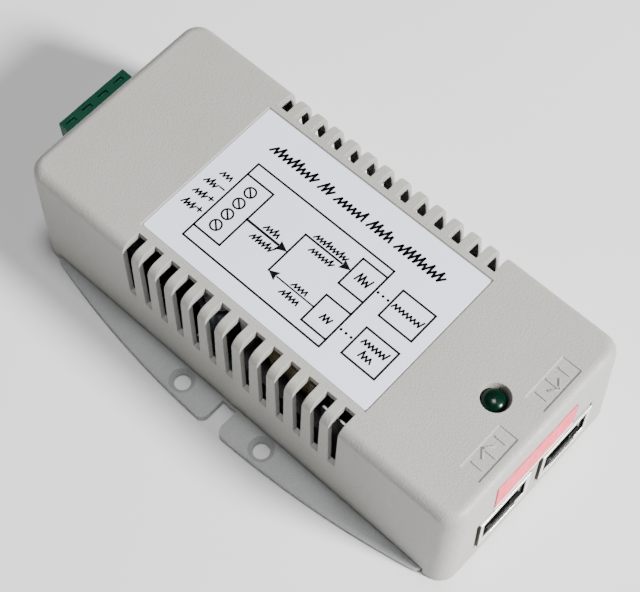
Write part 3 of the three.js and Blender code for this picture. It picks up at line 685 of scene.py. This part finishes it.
FLAG_X = 9.9
FLAG_RECESS = 0.3
FLAG_SINK = 0.05
FLAG_RELIEF = 0.26
FLAG_STROKE = 0.42
SHAFT_HALF = 1.7
TIP_REACH = 1.9
BAR_X = 3.6
BAR_HALF = 1.4
# one half of an arrow's head: (aside, back from the tip)
HEAD_OUTLINE = ((0, 0), (2.0, 1.6), (1.75, 1.95), (0, 0.55))


def make_flag(name, x, direction):
    """An arrow that points along Y in the given direction, with a bar on each side of it."""
    floor = corners("top_cover")[1].z - FLAG_RECESS
    span = (floor - FLAG_SINK, floor + FLAG_RELIEF)
    half = FLAG_STROKE / 2
    tip = FLAG_Y + TIP_REACH * direction
    solid = bmesh.new()
    add_box(solid, about(x, half), about(FLAG_Y, SHAFT_HALF), span)
    for side in (-1, 1):
        wing = [(x + side * aside, tip - back * direction) for aside, back in HEAD_OUTLINE]
        add_prism(solid, wing, span)
        add_box(solid, about(x + side * BAR_X, half), about(FLAG_Y, BAR_HALF), span)
    install(soften(piece_from(name, solid), 0.04, 1), MAT["case"], "top_cover", False)


make_flag("flag_in_arrow", -FLAG_X, 1)
make_flag("flag_out_arrow", FLAG_X, -1)

# ---- sticker and lamp ----

STICKER_EDGE = 0.32
STICKER_MARGIN_Z = 20.2
LAMP_RADIUS = 2.65
LAMP_RISE = 1.6
LAMP_STEPS = 16
FLANGE_HEIGHT = 1.0
FLANGE_CHAMFER = 0.1


def make_sticker():
    """Pink paper with a darker printed edge, and a bare margin along its foot."""
    solid = clean_copy("front_sticker")
    solid.normal_update()
    front = [face for face in solid.faces if face.normal.y < -0.9]
    rim = bmesh.ops.inset_region(solid, faces=front, thickness=STICKER_EDGE)["faces"]
    for face in rim:
        face.material_index = 1
    split(solid, (0, 0, STICKER_MARGIN_Z), UP)
    for face in solid.faces:
        if face.calc_center_median().z < STICKER_MARGIN_Z:
            face.material_index = 2
    piece = piece_from("paper_sticker", solid)
    install(piece, [MAT["paper"], MAT["paper_edge"], MAT["paper_margin"]], "front_sticker")


def make_lamp():
    """A round lens with a flange at its foot and a low dome, on its spacer."""
    low, high = corners("status_led")
    flange = (high.x - low.x) / 2
    inset = flange - FLANGE_CHAMFER
    top = low.z + FLANGE_HEIGHT
    profile = [(0, low.z), (inset, low.z), (flange, low.z + FLANGE_CHAMFER),
               (flange, top - FLANGE_CHAMFER), (inset, top), (LAMP_RADIUS + 0.05, top + 0.05)]
    shoulder = high.z - LAMP_RISE
    for step in range(LAMP_STEPS):
        angle = math.pi / 2 * step / LAMP_STEPS
        profile.append((LAMP_RADIUS * math.cos(angle), shoulder + LAMP_RISE * math.sin(angle)))
    profile.append((0, high.z))
    lens = turned("lamp_lens", profile, middle_of("status_led"))
    lens.data.shade_smooth()
    install(lens, MAT["lens"], "status_led")
    install(remade("led_spacer", "lamp_spacer", 0.2), MAT["black"], "led_spacer")


make_sticker()
make_lamp()

# ---- network jacks ----

PORT_SPRING_X = 5.95
PORT_SPRING_Z = (9.7, 12.4)
# the spring seen from above: (inward, back from the shield's front)
PORT_SPRING_OUTLINE = ((0, 0.75), (0, 1.0), (0.75, 3.6), (0.95, 3.5), (0.25, 0.75))
CONTACT_PITCH = 1.02
CONTACT_RADIUS = 0.19
COMB_DEPTH = 1.2
# a contact seen from the side: (forward from its back, height) as far as the bend in the comb,
# then how far forward its slant runs, how far it climbs and how much it bows, then
# (back from its front, height) of its end
CONTACT_ROOT = ((0.3, 14.9), (0.9, 14.2), (1.5, 13.85))
CONTACT_SLANT, CONTACT_CLIMB, CONTACT_BOW = 5.4, 1.45, 0.12
CONTACT_END = (0.35, 15.38)
CONTACT_STEPS = 8


def make_shield(side):
    """A bright shell whose outer side walls carry a dark tin that is painted shade, with a spring
    along each side of the port.
    """
    node = f"jack_{side}_shield"
    low = corners(node)[0]
    middle = middle_of(node)[0]
    shell = remade(node, f"jack_{side}_shell", 0.12)
    # the outer side walls get the dark tin, which is painted shade
    paint_faces(shell, lambda centre, normal: abs(normal.x) > 0.9 and abs(centre.x - middle) > 7)
    install(shell, [MAT["tin"], MAT["tin_side"]], node)
    springs = bmesh.new()
    for sign in (-1, 1):
        edge = middle + sign * PORT_SPRING_X
        outline = [(edge - sign * inward, low.y + back) for inward, back in PORT_SPRING_OUTLINE]
        add_prism(springs, outline[::-sign], PORT_SPRING_Z)
    piece = soften(piece_from(f"jack_{side}_port_springs", springs), 0.04, 1)
    install(piece, MAT["tin"], node, False)


def contact_path(x, front, back):
    """One contact's line, from its comb forward and up to its end."""
    path = [(x, back - forward, height) for forward, height in CONTACT_ROOT]
    root, foot = CONTACT_ROOT[-1]
    for step in range(1, CONTACT_STEPS + 1):
        along = step / CONTACT_STEPS
        bow = CONTACT_BOW * math.sin(math.pi * along)
        path.append((x, back - root - CONTACT_SLANT * along, foot + CONTACT_CLIMB * along + bow))
    path.append((x, front + CONTACT_END[0], CONTACT_END[1]))
    return path


def make_contacts(side):
    """Eight sprung wires that slant down and back from the port's roof into a comb."""
    node = f"jack_{side}_contacts"
    low, high = corners(node)
    middle = middle_of(node)[0]
    paths = [contact_path(middle + (i - 3.5) * CONTACT_PITCH, low.y, high.y) for i in range(8)]
    install(tube(f"jack_{side}_wires", paths, CONTACT_RADIUS), MAT["gold"], node)
    comb = bmesh.new()
    add_box(comb, (low.x, high.x), (high.y - COMB_DEPTH, high.y), (low.z, high.z))
    piece = soften(piece_from(f"jack_{side}_comb", comb), 0.12)
    install(piece, MAT["black"], node, False)


def make_jack(side):
    """A shield, its insert and its contacts."""
    make_shield(side)
    insert = remade(f"jack_{side}_insert", f"jack_{side}_block", 0.12)
    install(insert, MAT["black"], f"jack_{side}_insert")
    make_contacts(side)


make_jack("in")
make_jack("out")

# ---- screws and terminal ----

# threads as (radius, depth, pitch)
CASE_THREAD = (1.4, 0.32, 0.9)
TERMINAL_THREAD = (1.2, 0.12, 0.5)
SCREW_POINT = 1.25
CROSS_HALF_LENGTH = 1.35
CROSS_HALF_WIDTH = 0.2
CROSS_RELIEF = 0.02
TERMINAL_HEAD = 2


def make_case_screw(number):
    """A countersunk screw, head down, with a drilled centre, a fine cross and a helical thread."""
    node = f"case_screw_{number}"
    low, high = corners(node)
    centre = middle_of(node)
    head = (high.x - low.x) / 2
    solid = bmesh.new()
    cone = ((0, 0.75), (0.5, 0.7), (0.5, 0), (head - 0.1, 0), (head, 0.12), (1.2, 1.45), (1.15, 2.2))
    add_turned(solid, [(radius, low.z + up) for radius, up in cone], centre, 32)
    point = high.z - SCREW_POINT
    add_thread(solid, centre, CASE_THREAD, (low.z + 2.1, point + 0.05))
    add_turned(solid, [(0, point), (1.05, point), (0, high.z)], centre, 24)
    for turn in (0, math.pi / 2):
        half = Vector((math.cos(turn), math.sin(turn))) * CROSS_HALF_LENGTH
        side = Vector((-half.y, half.x)).normalized() * CROSS_HALF_WIDTH
        middle = Vector(centre)
        outline = [middle - half - side, middle + half - side, middle + half + side,
                   middle - half + side]
        add_prism(solid, outline, about(low.z, CROSS_RELIEF))
    install(soften(piece_from(f"{node}_body", solid), 0), MAT["screw"], node)


def make_terminal_screw(number):
    """A slotted cheese-head screw with a helical thread."""
    node = f"terminal_screw_{number}"
    low, high = corners(node)
    install(remade(node, f"{node}_body", 0.12), MAT["zinc"], node)
    solid = bmesh.new()
    shank = (low.z - 0.02, high.z - TERMINAL_HEAD - 0.1)
    add_thread(solid, middle_of(node), TERMINAL_THREAD, shank)
    install(soften(piece_from(f"{node}_thread", solid), 0), MAT["zinc"], node, False)


def make_terminal():
    """The header, the plug and their metal parts, and with them the case's four screws."""
    install(remade("terminal_header", "header_block", 0.12), MAT["terminal"], "terminal_header")
    install(remade("plug_housing", "plug_block", 0.16), MAT["terminal"], "plug_housing")
    for number in range(1, 5):
        for node, width, material in (
            (f"header_pin_{number}", 0.12, "tin"),
            (f"plug_contact_{number}", 0.08, "tin"),
            (f"clamp_cage_{number}", 0.15, "zinc"),
        ):
            install(remade(node, f"{node}_body", width), MAT[material], node)
        make_terminal_screw(number)
        make_case_screw(number)


make_terminal()

# ---- the electronic parts ----

# a capacitor's sleeve in section, as (in from its radius, up from its foot) and then
# (in from its radius, down from its top)
SLEEVE_FOOT = ((1.2, 0.3), (1.2, 0), (0.3, 0), (0, 0.3), (0, 1.5), (0.4, 2.0), (0.4, 2.2), (0, 2.7))
SLEEVE_TOP = ((0, 0.6), (0.1, 0.25), (0.35, 0.05), (0.6, 0), (0.95, 0.05), (1.1, 0.3), (1.2, 0.6))
STRIPE_ANGLE = 2.2
STRIPE_HALF = 0.42
# a can's top, its side and the sectors between its scores, measured from the sleeve's box
CAN_TOP = 0.5
CAN_INSET = 1.15
CAN_FOOT = 0.2
VENT_GAP = 0.09
VENT_PIVOT = 0.2
VENT_INSET = 1.45
VENT_SINK = 0.1
VENT_RELIEF = 0.14
VENT_STEPS = 8
CORNER_STEPS = 5
# a choke's bore as a part of its width, the roundings of its core and of its wire's loops, and
# the gap between them
BORE_PART = 0.3
CORE_ROUND = 0.8
LOOP_ROUND = 1.2
LOOP_GAP = 0.05
WINDING_START = 0.2
WINDING_SWEEP = math.tau * 0.93
# a power part's bare tab is above the first height, and its legs are below the second
TAB_Z = 20.6
LEG_Z = 11.4
CHIP_LEG_REACH = 0.69
CHIP_LEG_HEIGHT = 0.6
MARK_RING = (0.42, 0.56)
MARK_RELIEF = 0.02
MARK_PLACE = (1.2, 1.3)
FUSE_CAP_Y = 4.9


def make_transformer():
    """The core, the bobbin and the taped coil."""
    install(remade("transformer_core", "core_halves", 0.25, 3), MAT["ferrite"], "transformer_core")
    install(remade("transformer_bobbin", "bobbin_frame", 0.15), MAT["black"], "transformer_bobbin")
    install(remade("transformer_coil", "coil_tape", 0.3), MAT["tape"], "transformer_coil")


def vent_sector(centre, radius, quarter):
    """The outline of one of the four parts that a cross-shaped score leaves on a can's top."""
    start = quarter * math.pi / 2 + VENT_GAP
    middle = start + math.pi / 4 - VENT_GAP
    reaches = [(VENT_PIVOT, middle)]
    for step in range(VENT_STEPS + 1):
        reaches.append((radius, start + (math.pi / 2 - 2 * VENT_GAP) * step / VENT_STEPS))
    return [(centre[0] + reach * math.cos(angle), centre[1] + reach * math.sin(angle))
            for reach, angle in reaches]


def make_capacitor(node):
    """A sleeved can whose bare top shows inside the sleeve's rolled edge, scored to vent."""
    low, high = corners(node)
    centre = middle_of(node)
    radius = (high.x - low.x) / 2
    wall = [(radius - inset, low.z + up) for inset, up in SLEEVE_FOOT]
    wall += [(radius - inset, high.z - down) for inset, down in SLEEVE_TOP]
    sleeve = turned(f"{node}_sleeve", wall + [wall[0]], centre)
    sleeve.data.shade_smooth()
    install(sleeve, [MAT["sleeve"], MAT["stripe"]], node)

    def in_stripe(place, normal):
        angle = math.atan2(place.y - centre[1], place.x - centre[0])
        below, above = low.z + SLEEVE_FOOT[-1][1], high.z - SLEEVE_TOP[0][1]
        return abs(angle - STRIPE_ANGLE) < STRIPE_HALF and below < place.z < above

    paint_faces(sleeve, in_stripe)
    can = bmesh.new()
    foot, top = low.z + CAN_FOOT, high.z - CAN_TOP
    side = radius - CAN_INSET
    add_turned(can, [(0, foot), (side, foot), (side, top), (0, top)], centre)
    for quarter in range(4):
        outline = vent_sector(centre, radius - VENT_INSET, quarter)
        add_prism(can, outline, (top - VENT_SINK, top + VENT_RELIEF))
    piece = soften(piece_from(f"{node}_can", can), 0.05, 1)
    install(piece, MAT["aluminium"], node, False)


def soft_rectangle(x, z, round_):
    """Points round a rectangle with rounded corners, anticlockwise from its outer foot."""
    inner, outer = x[0] + round_, x[1] - round_
    foot, top = z[0] + round_, z[1] - round_
    points = []
    for corner, (cx, cz) in enumerate(((outer, foot), (outer, top), (inner, top), (inner, foot))):
        for step in range(CORNER_STEPS):
            angle = -math.pi / 2 + math.pi / 2 * (corner + step / (CORNER_STEPS - 1))
            points.append((cx + round_ * math.cos(angle), cz + round_ * math.sin(angle)))
    return points


def make_choke(node, turns, wire):
    """A coated ring core with a single layer of wire wound round its section."""
    low, high = corners(node)
    centre = middle_of(node)
    outer = (high.x - low.x) / 2
    inner = outer * BORE_PART

    def section(inset, round_):
        """The ring's section, shrunk by the inset."""
        x, z = (inner + inset, outer - inset), (low.z + inset, high.z - inset)
        return soft_rectangle(x, z, round_)

    ring = section(2 * wire + LOOP_GAP, CORE_ROUND)
    core = turned(f"{node}_core", ring + [ring[0]], centre, 40)
    core.data.shade_smooth()
    install(core, MAT["toroid"], node)
    loop = section(wire, LOOP_ROUND)
    path = []
    total = turns * len(loop)
    for k in range(total):
        radius, z = loop[k % len(loop)]
        angle = WINDING_START + WINDING_SWEEP * k / total
        path.append((centre[0] + radius * math.cos(angle), centre[1] + radius * math.sin(angle), z))
    install(tube(f"{node}_winding", [path], wire, 3), MAT["wire"], node, False)


def make_heatsink(node):
    """Black anodised fins with chamfered edges, bare metal where their tops are flat."""
    piece = remade(node, f"{node}_extrusion", 0.3)
    piece.modifiers["edges"].material = 0
    install(piece, [MAT["anodised"], MAT["aluminium"]], node)
    paint_faces(piece, lambda place, normal: normal.z > 0.9)


def make_power_part(node):
    """A moulded body on a bare metal tab, with tinned legs."""
    piece = remade(node, f"{node}_body", 0.12)
    install(piece, [MAT["black"], MAT["tin"]], node)
    back = corners(node)[1].y - 0.05
    paint_faces(piece, lambda place, normal: place.z > TAB_Z or place.z < LEG_Z or place.y > back)


def make_chip(node):
    """A two-row moulded package with tinned legs and a small ring that marks its first leg."""
    low, high = corners(node)
    piece = remade(node, f"{node}_package", 0.1)
    install(piece, [MAT["black"], MAT["tin"]], node)
    left, right = low.x + CHIP_LEG_REACH, high.x - CHIP_LEG_REACH
    shoulder = low.z + CHIP_LEG_HEIGHT
    paint_faces(piece, lambda place, normal: not left < place.x < right or place.z < shoulder)
    mark = bmesh.new()
    inner, outer = MARK_RING
    foot, top = about(high.z, MARK_RELIEF)
    rim = [(inner, foot), (inner, top), (outer, top), (outer, foot), (inner, foot)]
    add_turned(mark, rim, (left + MARK_PLACE[0], high.y - MARK_PLACE[1]), 24)
    install(piece_from(f"{node}_mark", mark), MAT["black"], node, False)


def make_fuse():
    """A white tube with a tinned cap on each end."""
    piece = remade("input_fuse", "fuse_tube", 0.15)
    install(piece, [MAT["white"], MAT["tin"]], "input_fuse")
    middle = middle_of("input_fuse")[1]
    paint_faces(piece, lambda place, normal: abs(place.y - middle) > FUSE_CAP_Y)


# ---- circuit board, with the small parts soldered on it ----

# where the small parts are, then the (length, width, height) of most of them and of every third
SMALL_PARTS = [
    (-21, -42), (-17, -42), (-13, -42), (20, -24), (20, 14.5), (-4.5, 10), (-1.5, 10), (1.5, 10),
    (-4.5, 6), (1.5, 6), (4.5, 13), (8.5, 2), (8.5, -2), (-22, 17), (8, 44), (4.5, 44), (1, 44),
    (-3, 42), (-6.5, 44), (-9, 47), (-21.5, 30), (10.5, -24),
]
SMALL_SIZE = (1.0, 0.62, 0.55)
LARGE_SIZE = (1.6, 0.8, 0.9)
# half a body and half a solder end's width, how far out an end is and how high, all as parts of
# those sizes; and half an end's thickness in millimetres
BODY_PART = 0.66
END_PART = 0.7
END_PLACE = 0.85
END_HEIGHT = 0.9
END_HALF = 0.25


def make_board():
    """The board, with its small parts' bodies as one piece and their solder ends as another."""
    install(remade("circuit_board", "board_sheet", 0.08, 1), MAT["board"], "circuit_board")
    top = corners("circuit_board")[1].z
    bodies = bmesh.new()
    ends = bmesh.new()
    for i, place in enumerate(SMALL_PARTS):
        length, width, height = SMALL_SIZE if i % 3 else LARGE_SIZE
        axis = i % 2
        half = [width * BODY_PART, width * BODY_PART]
        half[axis] = length * BODY_PART
        add_box(bodies, about(place[0], half[0]), about(place[1], half[1]), (top, top + height))
        half = [width * END_PART, width * END_PART]
        half[axis] = END_HALF
        for sign in (-1, 1):
            middle = list(place)
            middle[axis] += sign * length * END_PLACE
            add_box(ends, about(middle[0], half[0]), about(middle[1], half[1]),
                    (top, top + height * END_HEIGHT))
    install(soften(piece_from("board_chips", bodies), 0.06, 1), MAT["black"], "circuit_board", False)
    install(soften(piece_from("board_solder", ends), 0.12), MAT["tin"], "circuit_board", False)


make_board()
make_transformer()
for index in (1, 2):
    make_capacitor(f"input_capacitor_{index}")
for index in (1, 2, 3):
    make_capacitor(f"output_capacitor_{index}")
make_choke("input_choke", 19, 0.42)
make_choke("output_choke", 17, 0.4)
install(remade("film_capacitor", "film_capacitor_box", 0.35, 3), MAT["white"], "film_capacitor")
make_heatsink("output_heatsink")
make_heatsink("input_heatsink")
make_power_part("output_rectifier")
make_power_part("input_mosfet")
for chip in ("control_chip", "optocoupler", "data_filter"):
    make_chip(chip)
make_fuse()

# ---- floor, light and camera ----

# the lights' places and sizes are in metres
WORLD_STRENGTH = 0.06
KEY_PLACE = (0.3, -1.05, 0.75)
KEY_SIZE = 0.25
KEY_POWER = 48
TOP_PLACE = (0.08, -0.05, 1.2)
TOP_SIZE = 0.3
TOP_POWER = 8.5
FLOOR_HALF = 1500
FLOOR_DROP = 0.02


def make_floor():
    """The plain pale floor, a hair below the part."""
    solid = bmesh.new()
    bmesh.ops.create_grid(solid, x_segments=1, y_segments=1, size=FLOOR_HALF)
    floor = piece_from("studio_floor", solid)
    floor.location.z = -FLOOR_DROP * MM
    ground = Surface("studio_white", colour(236, 236, 236), 0.9)
    ground.tint(ground.noise(60, 2), 0.99, 1.0)
    floor.data.materials.append(ground.material)


def make_light(name, place, size, power):
    """A round area light that faces the origin."""
    light = bpy.data.lights.new(name, "AREA")
    light.shape = "DISK"
    light.size = size
    light.energy = power
    lamp = bpy.data.objects.new(name, light)
    lamp.location = place
    lamp.rotation_euler = (-Vector(place)).to_track_quat("-Z", "Y").to_euler()
    bpy.context.scene.collection.objects.link(lamp)


def make_lights():
    """A faint even surround, a key light from the front and a weaker one from above."""
    world = bpy.data.worlds.new("studio")
    world.use_nodes = True
    world.node_tree.nodes["Background"].inputs["Color"].default_value = (1, 1, 1, 1)
    world.node_tree.nodes["Background"].inputs["Strength"].default_value = WORLD_STRENGTH
    bpy.context.scene.world = world
    make_light("key", KEY_PLACE, KEY_SIZE, KEY_POWER)
    make_light("top", TOP_PLACE, TOP_SIZE, TOP_POWER)


def make_camera():
    """The camera at the viewing angle that its constants state, rolled about its line of sight."""
    across = math.cos(CAMERA_ELEVATION)
    back = Vector((math.sin(CAMERA_AZIMUTH) * across, -math.cos(CAMERA_AZIMUTH) * across,
                   math.sin(CAMERA_ELEVATION)))
    level = (-back).cross(UP).normalized()
    upright = level.cross(-back)
    right = level * math.cos(CAMERA_ROLL) + upright * math.sin(CAMERA_ROLL)
    top = upright * math.cos(CAMERA_ROLL) - level * math.sin(CAMERA_ROLL)
    place = (CAMERA_TARGET + back * CAMERA_DISTANCE) * MM
    data = bpy.data.cameras.new("camera")
    data.sensor_width = SENSOR_WIDTH
    data.lens = LENS
    data.clip_start = 0.01
    camera = bpy.data.objects.new("camera", data)
    turn = Matrix((right, top, back)).transposed().to_4x4()
    camera.matrix_world = Matrix.Translation(place) @ turn
    bpy.context.scene.collection.objects.link(camera)
    bpy.context.scene.camera = camera


make_floor()
make_lights()
make_camera()
